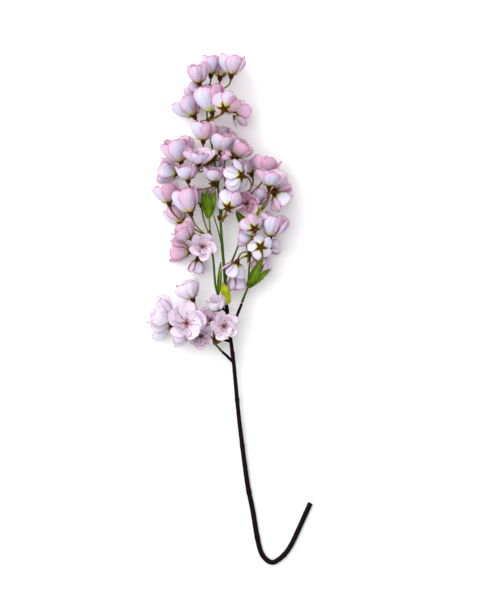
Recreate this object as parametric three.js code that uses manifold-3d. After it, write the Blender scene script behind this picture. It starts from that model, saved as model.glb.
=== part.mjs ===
// A cut flowering branch of Japanese cherry, lying on a table.
// Millimetres. X runs across the branch, Y along it towards the flowering tip, Z up from the table.
// One bark-covered branch carries four green shoots. Each shoot carries its leaves and, on thin
// stalks, its calyxes. Every bloom is a crown of five petals that stands just clear of its calyx.
import * as THREE from "three";
import { mergeGeometries, mergeVertices } from "three/addons/utils/BufferGeometryUtils.js";
import Module from "manifold-3d";

const wasm = await Module();
wasm.setup();

// ---- driving dimensions ----
const seatGap = 0.3; // between a piece and what carries it
const bladeThickness = 0.7; // petals and leaves
const trunkRadius = 2.8; // at the cut end, as far as trunkEven of the way along
const trunkEven = 0.4;
const trunkTip = 1.9;
const twigRadius = 1.7;
const twigTip = 1.5;
const barkSides = 8;
const shootSides = 5;
const stalkSteps = 3;
const stalkRadius = 0.65;
const stalkLead = 11; // the stretch over which a stalk turns into line with its bloom
const calyxHeight = 4.4;
const calyxBelly = { radius: 1.8, height: 3 };
const sepalReach = 4.9; // from the bloom's axis to a sepal's tip
const sepalNotch = 2; // from the bloom's axis to the rim between two sepals
const sepalLift = 1.4; // how far the sepals of a closed bud stand up
const petalCount = 5;
const petalRoot = 1.5; // from the bloom's axis to the petals' roots
const petalSpread = 0.98; // a petal's half width as a share of its distance from the bloom's axis
const petalHalfWidth = 0.42; // the most that it gets, as a share of the petal's length
const petalTwist = THREE.MathUtils.degToRad(17); // each petal tucks one edge under the next
const smallPetal = 23; // a shorter petal has fewer folds along it
const flatBloom = 0.7; // and so have the petals of a bloom that has opened further
const goldenTurn = 2.39996; // radians from one bloom's roll to the next one's
const leafFold = 0.35; // rise of a leaf's edges over its rib, as a share of its half width
const leafArch = 0.1; // rise of a leaf's middle, as a share of its length
const finestDetail = 0.02;
const mergeDistance = 1e-3;
const tableSize = 1000;

// ---- solids ----
// A closed surface becomes a solid once its shared corners are merged and its empty faces dropped.
function mergedFaces(geometry) {
  const bare = new THREE.BufferGeometry();
  bare.setAttribute("position", geometry.getAttribute("position"));
  bare.setIndex(geometry.index);
  const merged = mergeVertices(bare, mergeDistance);
  const corners = merged.index.array;
  const kept = [];
  for (let i = 0; i < corners.length; i += 3) {
    const [a, b, c] = corners.slice(i, i + 3);
    if (a !== b && b !== c && c !== a) kept.push(a, b, c);
  }
  merged.setIndex(kept);
  return merged;
}

function toSolid(geometry) {
  const merged = mergedFaces(geometry);
  const mesh = new wasm.Mesh({
    numProp: 3,
    vertProperties: merged.attributes.position.array,
    triVerts: new Uint32Array(merged.index.array),
  });
  return new wasm.Manifold(mesh);
}

function toGeometry(solid) {
  const mesh = solid.getMesh();
  const geometry = new THREE.BufferGeometry();
  geometry.setAttribute("position", new THREE.BufferAttribute(mesh.vertProperties, 3));
  geometry.setIndex(new THREE.BufferAttribute(mesh.triVerts, 1));
  geometry.computeVertexNormals();
  return geometry;
}

// Joins solids into one body, trimmed where it would dip into the table. A hollow that the joining
// seals is filled, and a scrap that it cuts loose is dropped. place is the body's place over the table.
function fuse(solids, place = new THREE.Matrix4()) {
  const table = new THREE.BoxGeometry(tableSize, tableSize, tableSize);
  table.translate(0, 0, -tableSize / 2).applyMatrix4(place.clone().invert());
  const joined = wasm.Manifold.union(solids).subtract(toSolid(table));
  const bodies = joined.decompose().sort((a, b) => b.volume() - a.volume());
  return bodies[0].simplify(finestDetail);
}

// A tube through rings of corners. Each ring has its place, whose +Z runs along the tube, and gives
// the radius and the angle of each corner.
function tube(rings, sides) {
  const geometry = new THREE.CylinderGeometry(1, 1, 1, sides, rings.length - 1);
  const position = geometry.attributes.position;
  for (let i = 0; i < position.count; i++) {
    const [x, y, z] = [position.getX(i), position.getY(i), position.getZ(i)];
    const { place, radius, turn, dome = 0 } = rings[Math.round((0.5 - y) * (rings.length - 1))];
    const side = (Math.round((-Math.atan2(x, z) * sides) / (2 * Math.PI)) + sides) % sides;
    const isCentre = Math.hypot(x, z) < 0.5;
    const corner = new THREE.Vector3(isCentre ? 0 : radius(side), 0, isCentre ? dome : 0);
    corner.applyAxisAngle(new THREE.Vector3(0, 0, 1), turn(side)).applyMatrix4(place);
    position.setXYZ(i, corner.x, corner.y, corner.z);
  }
  return toSolid(geometry);
}

// A round bar along a curve, with the radius radiusAt(t) from its start (t = 0) to its end (t = 1).
// A level bar lies on a flat side.
function bar(curve, radiusAt, sides, steps) {
  const { tangents, normals, binormals } = curve.computeFrenetFrames(steps);
  const rings = tangents.map((tangent, step) => ({
    place: new THREE.Matrix4()
      .makeBasis(normals[step], binormals[step], tangent)
      .setPosition(curve.getPointAt(step / steps)),
    radius: () => radiusAt(step / steps),
    turn: (side) => ((side + 0.5) * 2 * Math.PI) / sides,
  }));
  return tube(rings, sides);
}

function taper(from, to) {
  return (t) => THREE.MathUtils.lerp(from, to, t);
}

function route(points) {
  return new THREE.CatmullRomCurve3(points.map((point) => new THREE.Vector3(...point)));
}

// A thin open sheet gets its thickness. Both faces are split into triangles alike.
function thicken(open) {
  const sheet = mergedFaces(open);
  sheet.computeVertexNormals();
  const { position, normal } = sheet.attributes;
  const count = position.count;
  const vertices = [];
  for (const side of [1, -1]) {
    for (let i = 0; i < count; i++) {
      const point = new THREE.Vector3().fromBufferAttribute(position, i);
      const offset = new THREE.Vector3().fromBufferAttribute(normal, i);
      vertices.push(...point.addScaledVector(offset, (side * bladeThickness) / 2));
    }
  }
  const faces = [];
  for (let i = 0; i < sheet.index.count; i += 3) faces.push(sheet.index.array.slice(i, i + 3));
  const edges = new Set();
  for (const [a, b, c] of faces) edges.add(`${a} ${b}`).add(`${b} ${c}`).add(`${c} ${a}`);
  const corners = [];
  for (const [a, b, c] of faces) corners.push(a, b, c, count + a, count + c, count + b);
  for (const edge of edges) {
    const [a, b] = edge.split(" ").map(Number);
    if (!edges.has(`${b} ${a}`)) corners.push(b, a, count + a, b, count + a, count + b);
  }
  const thick = new THREE.BufferGeometry();
  thick.setAttribute("position", new THREE.Float32BufferAttribute(vertices, 3));
  thick.setIndex(corners);
  return toSolid(thick);
}

// A sheet on the surface that surfaceAt(u, v) gives, with u from -1 to 1 and v from 0 to 1.
function sheetOn(surfaceAt, columns, rows) {
  const sheet = new THREE.PlaneGeometry(2, 1, columns, rows);
  const position = sheet.attributes.position;
  for (let i = 0; i < position.count; i++) {
    const point = surfaceAt(position.getX(i), position.getY(i) + 0.5);
    position.setXYZ(i, point.x, point.y, point.z);
  }
  return sheet;
}

// ---- one bloom, in its own frame: its stalk ends at the origin and it faces +Z ----
const crownHeight = calyxHeight + 2 * seatGap + bladeThickness / 2;

// open is 0 for a closed bud, 0.5 for a cup and 1 for a flat flower. The petal's rib is an arc
// that starts at the angle start from the bloom's axis, and its width curls round that rib.
function petalPoint(u, v, length, open) {
  if (v === 0) {
    const share = (-u * Math.PI) / petalCount;
    return new THREE.Vector3(Math.cos(share), Math.sin(share), 0)
      .multiplyScalar(petalRoot)
      .setZ(crownHeight);
  }
  const start = THREE.MathUtils.degToRad(48 + 42 * open);
  const end = THREE.MathUtils.degToRad(-40 + 40 * open + 55 * open ** 2);
  const angle = THREE.MathUtils.lerp(start, end, v * (1 - 0.2 * (u * v) ** 2));
  const arc = length / (end - start);
  const radius = petalRoot + arc * (Math.cos(start) - Math.cos(angle));
  const height = crownHeight + arc * (Math.sin(angle) - Math.sin(start));
  const spread = petalSpread * (0.55 + 0.5 * v);
  const widest = Math.min(spread * radius, petalHalfWidth * length);
  const halfWidth = widest * (1 - 0.36 * v ** 6);
  const curl = (0.9 + 0.9 * open) * Math.max(radius, 0.3 * length);
  const bend = (-u * halfWidth) / curl;
  const across = curl * Math.sin(bend);
  const inward = curl * (1 - Math.cos(bend)) + across * Math.sin(petalTwist);
  return new THREE.Vector3(
    radius - inward * Math.cos(angle),
    across * Math.cos(petalTwist),
    height + inward * Math.sin(angle),
  );
}

// Five petals round a small foot, all one sheet.
function crown(bloom) {
  const foot = new THREE.CircleGeometry(petalRoot, 2 * petalCount);
  foot.translate(0, 0, crownHeight);
  const sheets = [foot];
  const rows = bloom.petal < smallPetal || bloom.open > flatBloom ? 2 : 3;
  for (let i = 0; i < petalCount; i++) {
    const petal = sheetOn((u, v) => petalPoint(u, v, bloom.petal, bloom.open), 2, rows);
    sheets.push(petal.rotateZ((2 * Math.PI * i) / petalCount));
  }
  return fuse([thicken(mergeGeometries(sheets))], bloom.place);
}

// A stalk runs from the joint on the shoot into line with the bloom, and swells into the calyx,
// whose rim runs out into five sepals, one between each two petals. past is a point that pulls the
// stalk aside, where its straight way is taken.
function stalkAndCalyx(bloom) {
  const base = new THREE.Vector3(...bloom.at);
  const facing = new THREE.Vector3().setFromMatrixColumn(bloom.place, 2);
  const joint = new THREE.Vector3(...bloom.joint);
  const lead = Math.min(stalkLead, 0.5 * base.distanceTo(joint));
  const before = base.clone().addScaledVector(facing, -lead);
  const past = bloom.past ? new THREE.Vector3(...bloom.past) : joint.clone().lerp(before, 0.5);
  const curve = new THREE.CubicBezierCurve3(joint, past, before, base);
  const fiveOfTen = (side) => (2 * Math.PI * Math.floor(side / 2)) / petalCount;
  const rings = [];
  const aside = new THREE.Vector3().setFromMatrixColumn(bloom.place, 0);
  for (let step = stalkSteps; step >= 0; step--) {
    const tangent = curve.getTangentAt(step / stalkSteps);
    aside.addScaledVector(tangent, -aside.dot(tangent)).normalize();
    const place = new THREE.Matrix4()
      .makeBasis(aside, tangent.clone().cross(aside), tangent)
      .setPosition(curve.getPointAt(step / stalkSteps));
    rings.unshift({ place, radius: () => stalkRadius, turn: fiveOfTen });
  }
  const along = (height) => bloom.place.clone().multiply(new THREE.Matrix4().makeTranslation(0, 0, height));
  rings.push({ place: along(calyxBelly.height), radius: () => calyxBelly.radius, turn: fiveOfTen });
  rings.push({
    place: along(calyxHeight + sepalLift * (0.6 - bloom.open)),
    radius: (side) => (side % 2 ? sepalReach : sepalNotch),
    turn: (side) => (Math.PI * side) / petalCount,
    dome: -sepalLift * (0.6 - bloom.open),
  });
  return tube(rings, 2 * petalCount);
}

// A leaf from root to tip, folded a little along its rib and arched. face is the way its upper
// side looks.
function leaf({ root, tip, width, face = [0, 0, 1] }) {
  const start = new THREE.Vector3(...root);
  const rib = new THREE.Vector3(...tip).sub(start);
  const length = rib.length();
  const across = rib.clone().cross(new THREE.Vector3(...face)).normalize();
  const up = across.clone().cross(rib).normalize();
  const surfaceAt = (u, v) => {
    const halfWidth = (width / 2) * Math.sin(Math.PI * (0.12 + 0.88 * v));
    const rise = leafArch * length * Math.sin(Math.PI * v) + leafFold * halfWidth * Math.abs(u);
    const point = start.clone().addScaledVector(rib, v);
    return point.addScaledVector(across, u * halfWidth).addScaledVector(up, rise);
  };
  return thicken(sheetOn(surfaceAt, 2, 3));
}

// ---- the branch ----
const hookHeight = trunkRadius * Math.cos(Math.PI / barkSides); // it lies on its flat underside

const trunkRoute = [
  [89, -213, hookHeight],
  [81, -231, hookHeight],
  [69.5, -256, hookHeight],
  [62, -268.5, hookHeight],
  [54, -277, hookHeight],
  [47, -280.5, hookHeight],
  [40.5, -277.5, hookHeight],
  [34.5, -268, hookHeight],
  [30.5, -253, hookHeight],
  [27.5, -236, hookHeight],
  [24.5, -218, hookHeight],
  [19, -190, 3.6],
  [11.5, -133, 6.8],
  [7.5, -95, 9.8],
  [4, -57, 13.5],
  [0.8, -32, 16.5],
  [-2, -8, 19],
  [-4, 7, 20.5],
];

function branch() {
  const thinning = (t) => Math.max(t - trunkEven, 0) / (1 - trunkEven);
  const trunkTaper = (t) => THREE.MathUtils.lerp(trunkRadius, trunkTip, thinning(t));
  const twigs = [
    [[2, -45, 15], [-2, -14, 20], [-8, 4, 22], [-11.5, 13, 22.5]],
    [[4, -57, 13.5], [-3, -50, 15], [-8.5, -45, 16.5]],
    [[-1, -20, 17.5], [5, -11, 20], [10.5, 2, 22], [13, 8.5, 22.5]],
    [[1, -34, 16.5], [-5, -32, 18.5], [-10.5, -30.5, 20]],
  ];
  const twigTaper = taper(twigRadius, twigTip);
  const solids = twigs.map((points) => bar(route(points), twigTaper, barkSides, 3));
  solids.push(bar(route(trunkRoute), trunkTaper, barkSides, 26));
  return fuse(solids);
}

// ---- the shoots ----
// at is where a bloom's stalk ends, faces the way the bloom looks, petal the petals' length and
// open how far it has opened. Blooms of one cluster share the joint that their stalks leave.
const shoots = {
  leading_shoot: {
    stems: [
      {
        points: [
          [-4.1, 7.6, 20.6], [-5, 27, 22], [-7, 53, 24], [-9, 78, 25], [-10.6, 103, 25.5],
          [-12, 125, 26], [-15.6, 153, 26.5], [-18, 171, 27], [-21.5, 190, 27], [-25, 212, 27],
          [-26, 243, 28],
        ],
        radii: [1.8, 0.9],
        steps: 12,
      },
      {
        points: [[-4.5, 16, 21], [-4, 38, 19], [6, 64, 18], [17, 92, 18], [24, 108, 19]],
        radii: [1.3, 0.9],
        steps: 5,
      },
      { points: [[-10.4, 100, 25], [-8, 115, 23], [-3, 132, 22]], radii: [1, 0.8], steps: 3 },
      { points: [[-8.6, 70, 24.5], [-12, 85, 26], [-18, 105, 27]], radii: [0.9, 0.7], steps: 3 },
    ],
    leaves: [
      { root: [-2, 8, 22], tip: [-8, 32, 27], width: 10 },
      { root: [18, 93, 19], tip: [6, 110, 32], width: 9 },
      { root: [18, 93, 19], tip: [35, 114, 36], width: 8 },
      { root: [18, 93, 19], tip: [33, 103, 20], width: 6 },
    ],
    clusters: {
      crest: {
        joint: [-26, 242, 28],
        blooms: [
          { at: [-21, 254.5, 26.5], faces: [0, 1, 0.1], petal: 24.5, open: 0.3 },
          { at: [-11.5, 253.5, 9.5], faces: [0.1, 1, 0], petal: 22.5, open: 0.3 },
          { at: [1, 252.5, 38], faces: [0.1, 1, 0.05], petal: 26.5, open: 0.45 },
          { at: [-32.5, 243.5, 40], faces: [-0.15, 0.97, 0.2], petal: 25, open: 0.32 },
          { at: [-29.5, 237, 15], faces: [-0.8, 0.6, 0], petal: 18.5, open: 0.4 },
        ],
      },
      upper: {
        joint: [-24.5, 208, 27],
        blooms: [
          { at: [-18.5, 211.5, 44.5], faces: [-0.15, 0.95, 0.15], petal: 35, open: 0.36 },
          { at: [-7.5, 214, 78], faces: [0.25, 0.6, -0.75], petal: 21.5, open: 0.7 },
          { at: [1, 217, 32], faces: [0.75, 0, -0.66], petal: 18.5, open: 0.75 },
          { at: [-37, 210, 24], faces: [-0.5, 0.85, -0.1], petal: 27.5, open: 0.5 },
        ],
      },
      middle: {
        joint: [-17.5, 166, 27],
        blooms: [
          { at: [-29, 181, 42], faces: [0, 0.95, 0.2], petal: 25, open: 0.36 },
          { at: [-10, 169, 36], faces: [0.15, 1, 0.2], petal: 24.5, open: 0.4 },
          { at: [-52.5, 159, 26], faces: [-0.25, 0.95, 0.15], petal: 32, open: 0.45 },
          { at: [-34, 155.5, 51], faces: [0.05, 0.95, 0.3], petal: 23, open: 0.7 },
          { at: [-54, 151, 12], faces: [-0.95, 0.2, 0], petal: 25.5, open: 0.45 },
          { at: [-11, 183, 11], faces: [0.15, 1, 0], petal: 19, open: 0.35 },
        ],
      },
      inner: {
        joint: [-13.5, 138, 26],
        blooms: [
          { at: [-45, 138.5, 40], faces: [-0.1, 0.95, 0.25], petal: 21, open: 0.5 },
          { at: [-19, 136.5, 42], faces: [0.15, 0.95, 0.3], petal: 20, open: 0.5 },
          { at: [-21, 147, 13], faces: [0.05, 1, 0], petal: 21, open: 0.4 },
        ],
      },
      right: {
        joint: [-3, 131, 22],
        blooms: [
          { at: [-3, 170, 16], faces: [0.6, 0.8, 0.1], petal: 24.5, open: 0.4 },
          { at: [5, 164, 38], faces: [0.55, 0.8, 0.1], petal: 21, open: 0.45 },
          { at: [5.5, 165.5, 53.5], faces: [-0.8, 0.3, 0.5], petal: 13, open: 0.15, past: [12, 150, 18] },
          { at: [16, 146, 65], faces: [-0.65, 0.05, -0.75], petal: 21, open: 0.8, past: [34, 122, 28] },
        ],
      },
      heart: {
        joint: [-10.5, 100, 25],
        blooms: [
          { at: [-3, 109, 60], faces: [0.2, 0.6, -0.75], petal: 21, open: 0.6, past: [-13, 92, 54] },
        ],
      },
      outer: {
        joint: [23.5, 107, 19],
        blooms: [
          { at: [25, 147, 14], faces: [-0.35, 0.95, 0], petal: 18, open: 0.3, past: [12, 125, 16] },
          { at: [37, 145, 31], faces: [0.2, 0.95, -0.1], petal: 23.5, open: 0.55, past: [12, 130, 24] },
          { at: [42, 131, 50], faces: [0.15, 0.95, 0.2], petal: 23.5, open: 0.6, past: [44, 112, 20] },
          { at: [46, 131, 12], faces: [0.8, 0.6, -0.1], petal: 20, open: 0.4, past: [38, 108, 18] },
          { at: [46, 131, 34], faces: [0.65, -0.7, -0.2], petal: 20, open: 0.55, past: [50, 110, 24] },
          { at: [26, 114, 22], faces: [0.45, 0.85, 0], petal: 21, open: 0.35 },
          { at: [17, 117.5, 25.5], faces: [0.15, 0, 0.98], petal: 17, open: 0.7 },
        ],
      },
    },
  },
  left_shoot: {
    stems: [
      {
        points: [[-11.7, 13.6, 22.6], [-16, 29, 23], [-18, 53, 24], [-21, 78, 25], [-23, 105, 26]],
        radii: [1.4, 0.9],
        steps: 6,
      },
    ],
    leaves: [
      { root: [-12.5, 19, 23], tip: [-10, 54, 28], width: 5 },
      { root: [-23, 102, 26], tip: [-31, 131, 27], width: 9 },
      { root: [-23, 102, 26], tip: [-25, 134, 34], width: 8 },
      { root: [-23, 103, 26], tip: [-16, 132, 32], width: 8 },
    ],
    clusters: {
      left: {
        joint: [-21, 80, 25],
        blooms: [
          { at: [-50, 93.5, 11.5], faces: [-0.6, 0.8, -0.1], petal: 25.5, open: 0.3 },
          { at: [-66, 114, 22], faces: [-0.2, 0.95, 0.05], petal: 25.5, open: 0.45 },
          { at: [-41.5, 102.5, 38], faces: [-0.25, 0.95, 0.1], petal: 33, open: 0.3 },
          { at: [-40, 77, 30], faces: [-0.65, 0.7, 0.3], petal: 22.5, open: 0.5 },
          { at: [-31, 70, 29], faces: [0.15, 0.05, 1], petal: 17, open: 0.85 },
          { at: [-35, 61, 14], faces: [-0.15, -0.95, -0.1], petal: 17, open: 0.4 },
          { at: [-40, 65, 14], faces: [-0.95, 0.1, 0], petal: 25.5, open: 0.4 },
          { at: [-31, 113, 12], faces: [-0.05, 1, 0], petal: 21, open: 0.4 },
        ],
      },
    },
  },
  right_shoot: {
    stems: [
      {
        points: [[13.1, 9.2, 22.6], [16, 17, 23], [20, 28, 24], [21, 46, 24], [23, 64, 24]],
        radii: [1.4, 0.9],
        steps: 5,
      },
    ],
    leaves: [
      { root: [20, 27, 24], tip: [36, 58, 34], width: 10 },
      { root: [20, 26, 24], tip: [45, 47, 29], width: 7 },
      { root: [21, 28, 24], tip: [38, 52, 31], width: 5 },
    ],
    clusters: {
      low_right: {
        joint: [23, 63, 24],
        blooms: [
          { at: [42.5, 77, 32], faces: [0.25, 0.95, 0.15], petal: 30.5, open: 0.45 },
          { at: [28, 86, 58], faces: [-0.3, 0.6, -0.75], petal: 18, open: 0.65, past: [8, 75, 48] },
          { at: [34, 69, 60], faces: [-0.1, 0.05, -1], petal: 16, open: 0.8, past: [40, 33, 48] },
          { at: [36, 69, 18], faces: [0.95, 0.15, -0.1], petal: 16, open: 0.42 },
          { at: [34, 66, 12], faces: [0, -0.95, -0.1], petal: 20, open: 0.45 },
          { at: [9, 57, 42], faces: [-0.3, -0.85, -0.3], petal: 19, open: 0.6 },
          { at: [6, 45, 16], faces: [0.1, -0.95, 0], petal: 21, open: 0.4 },
          { at: [29, 79, 31], faces: [-0.85, 0.1, 0], petal: 19, open: 0.45 },
        ],
      },
    },
  },
  low_shoot: {
    stems: [
      {
        points: [[-8.9, -44.6, 16.7], [-18, -35.4, 18], [-28, -33, 19], [-36, -33, 20]],
        radii: [1.3, 0.9],
        steps: 4,
      },
    ],
    leaves: [],
    clusters: {
      low_near: {
        joint: [-18, -35.4, 18],
        blooms: [
          { at: [-31.5, -25.5, 17], faces: [0, -0.3, 0.95], petal: 18, open: 0.62 },
          { at: [-20, -13, 24], faces: [-0.2, 0.35, 0.9], petal: 18, open: 0.65 },
          { at: [-10, -2, 42], faces: [-0.3, 0.75, 0.5], petal: 18, open: 0.45 },
          { at: [-7, -17, 39], faces: [0.1, 0.1, 0.98], petal: 18, open: 0.85 },
        ],
      },
      low_left: {
        joint: [-36, -33, 20],
        blooms: [
          { at: [-39, 9, 28], faces: [-0.4, 0.9, 0.1], petal: 24.5, open: 0.45 },
          { at: [-60, -10, 32], faces: [-0.85, 0.45, 0.2], petal: 28.5, open: 0.55 },
          { at: [-61, -15, 13], faces: [-0.98, -0.15, 0], petal: 25.5, open: 0.42 },
          { at: [-47, -15, 37], faces: [0, 0.25, 0.95], petal: 24.5, open: 0.85 },
          { at: [-42, -26, 14], faces: [-0.97, -0.15, 0.05], petal: 20, open: 0.42 },
        ],
      },
    },
  },
};

// A bloom's place turns +Z to the way it faces, after a roll about its own axis.
function placeOf(bloom, roll) {
  const facing = new THREE.Vector3(...bloom.faces).normalize();
  const upright = new THREE.Vector3(0, 0, 1);
  const turn = new THREE.Quaternion().setFromUnitVectors(upright, facing);
  turn.multiply(new THREE.Quaternion().setFromAxisAngle(upright, roll));
  return new THREE.Matrix4().compose(
    new THREE.Vector3(...bloom.at),
    turn,
    new THREE.Vector3(1, 1, 1),
  );
}

function shoot(stems, leaves, blooms) {
  const solids = [];
  for (const { points, radii, steps } of stems) {
    solids.push(bar(route(points), taper(...radii), shootSides, steps));
  }
  solids.push(...leaves.map(leaf), ...blooms.map(stalkAndCalyx));
  return fuse(solids);
}

// ---- assembly ----
const barkFinish = { color: 0x2b2024, roughness: 0.75, metalness: 0 };
const greenFinish = { color: 0x6b8a2e, roughness: 0.6, metalness: 0 };
const petalFinish = { color: 0xf2cbdb, roughness: 0.55, metalness: 0 };

function addPiece(group, name, solid, finish) {
  const mesh = new THREE.Mesh(toGeometry(solid), new THREE.MeshStandardMaterial(finish));
  mesh.name = name;
  group.add(mesh);
  return mesh;
}

const blossom = new THREE.Group();
addPiece(blossom, "branch", branch(), barkFinish);
let bloomCount = 0;
for (const [name, { stems, leaves, clusters }] of Object.entries(shoots)) {
  const spray = new THREE.Group();
  const blooms = [];
  for (const [cluster, { joint, blooms: members }] of Object.entries(clusters)) {
    members.forEach((member, i) => {
      const bloom = { ...member, joint, place: placeOf(member, bloomCount * goldenTurn) };
      bloomCount += 1;
      blooms.push(bloom);
      const piece = addPiece(spray, `${cluster}_bloom_${i + 1}`, crown(bloom), petalFinish);
      piece.applyMatrix4(bloom.place);
    });
  }
  addPiece(spray, name, shoot(stems, leaves, blooms), greenFinish);
  blossom.add(spray);
}

export default blossom;
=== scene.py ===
# A cut flowering spray of Japanese cherry, dressed over its solids.
# The tables are in millimetres, and a finished mesh is in metres.
import math
import random

import bmesh
import bpy
from mathutils import Matrix, Quaternion, Vector, noise


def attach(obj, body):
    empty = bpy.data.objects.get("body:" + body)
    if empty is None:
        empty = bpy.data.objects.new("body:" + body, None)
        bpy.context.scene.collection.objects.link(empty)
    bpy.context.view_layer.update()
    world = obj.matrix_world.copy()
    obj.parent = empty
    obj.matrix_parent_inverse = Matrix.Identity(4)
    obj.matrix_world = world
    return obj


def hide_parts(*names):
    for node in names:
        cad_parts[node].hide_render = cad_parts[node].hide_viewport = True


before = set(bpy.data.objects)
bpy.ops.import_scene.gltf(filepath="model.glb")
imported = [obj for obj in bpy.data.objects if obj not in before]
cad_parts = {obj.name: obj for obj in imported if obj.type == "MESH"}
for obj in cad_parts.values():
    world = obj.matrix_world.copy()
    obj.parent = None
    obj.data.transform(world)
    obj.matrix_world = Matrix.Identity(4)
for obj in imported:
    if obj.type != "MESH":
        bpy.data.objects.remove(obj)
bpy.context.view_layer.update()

chance = random.Random(23)
up = Vector((0, 0, 1))


def lerp(a, b, t):
    return a + (b - a) * t


def clamp(value, low=0.0, high=1.0):
    return max(low, min(high, value))


def paint(red, green, blue):
    # a screen colour, 0 to 255, as the linear colour that a shader takes
    channels = [c / 255 for c in (red, green, blue)]
    return tuple(c / 12.92 if c < 0.04 else ((c + 0.055) / 1.055) ** 2.4 for c in channels) + (1.0,)


class Wire:
    # a socket's number that can be used in sums
    def __init__(self, finish, socket):
        self.finish = finish
        self.socket = socket

    def maths(self, operation, *values):
        inputs = dict(enumerate(values))
        return self.finish.node("ShaderNodeMath", {"operation": operation}, inputs)

    def __add__(self, other):
        return self.maths("ADD", self, other)

    def __radd__(self, other):
        return self.maths("ADD", other, self)

    def __sub__(self, other):
        return self.maths("SUBTRACT", self, other)

    def __rsub__(self, other):
        return self.maths("SUBTRACT", other, self)

    def __mul__(self, other):
        return self.maths("MULTIPLY", self, other)

    def __rmul__(self, other):
        return self.maths("MULTIPLY", other, self)

    def clipped(self):
        return self.finish.node("ShaderNodeClamp", {}, {"Value": self})

    def ramp(self, *stops):
        return self.finish.node("ShaderNodeValToRGB", {"stops": stops}, {"Fac": self})


class Finish:
    # a material with one principled shader, whose fixed numbers are set on its own sockets
    def __init__(self, name, **fixed):
        self.material = bpy.data.materials.new(name)
        self.material.use_nodes = True
        self.tree = self.material.node_tree
        self.tree.nodes.clear()
        self.shader = self.tree.nodes.new("ShaderNodeBsdfPrincipled")
        for socketName, value in fixed.items():
            self.shader.inputs[socketName.replace("_", " ")].default_value = value
        self.node("ShaderNodeOutputMaterial", {}, {"Surface": Wire(self, self.shader.outputs[0])})

    def node(self, kind, settings, inputs, output=0):
        made = self.tree.nodes.new(kind)
        for name, value in settings.items():
            if name == "stops":
                elements = made.color_ramp.elements
                while len(elements) < len(value):
                    elements.new(1)
                for element, (place, colour) in zip(elements, value):
                    element.position = place
                    element.color = colour
            else:
                setattr(made, name, value)
        for key, value in inputs.items():
            if isinstance(value, Wire):
                self.tree.links.new(value.socket, made.inputs[key])
            else:
                made.inputs[key].default_value = value
        return Wire(self, made.outputs[output]) if made.outputs else None

    def attribute(self, name):
        return self.node("ShaderNodeAttribute", {"attribute_name": name}, {}, "Fac")

    def place(self):
        return self.node("ShaderNodeTexCoord", {}, {}, "Object")

    def vector(self, x, y, z):
        return self.node("ShaderNodeCombineXYZ", {}, {"X": x, "Y": y, "Z": z})

    def cloud(self, vector, scale, detail=2.0, roughness=0.5):
        inputs = {"Vector": vector, "Scale": scale, "Detail": detail, "Roughness": roughness}
        return self.node("ShaderNodeTexNoise", {}, inputs)

    def mix(self, factor, first, second, blend="MIX"):
        settings = {"data_type": "RGBA", "blend_type": blend}
        return self.node("ShaderNodeMix", settings, {0: factor, 6: first, 7: second}, 2)

    def bump(self, height, strength, distance):
        inputs = {"Height": height, "Strength": strength, "Distance": distance}
        return self.node("ShaderNodeBump", {}, inputs)

    def feed(self, **wires):
        for socketName, wire in wires.items():
            self.tree.links.new(wire.socket, self.shader.inputs[socketName.replace("_", " ")])
        return self.material


petalLook = {
    "root": paint(120, 112, 36),
    "base": paint(210, 224, 56),
    "baseFar": paint(226, 236, 136),
    "pale": paint(220, 226, 255),
    "rim": paint(240, 180, 222),
    # the colour of the painted shade round the rims
    "outline": paint(104, 62, 36),
    "warm": paint(234, 160, 192),
    "inside": paint(250, 210, 228),
    "insideTip": paint(252, 228, 246),
    "insideDeep": paint(234, 172, 186),
    "insideRoot": paint(176, 150, 70),
    "milk": paint(248, 238, 255),
    # the colour that the painted shade multiplies in
    "dusk": paint(216, 186, 168),
    "vein": paint(188, 136, 174),
    "roughness": 0.5,
    "glow": 0.35,
    "glowRadius": (1.0, 0.62, 0.7),
    "glowDepth": 0.0025,
    "pinkFrom": 0.68,  # petals whose tone is past this are pink all over
    "pinkStrength": 0.45,
    "lineSide": 0.76,  # how far out, squared, the painted shade line round the rim starts
    "lineTip": 0.935,
    "lineStrength": 0.7,
    "veinStrength": 0.36,
    "veinMilk": 0.24,  # and how much of that a milky petal loses
}


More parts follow.
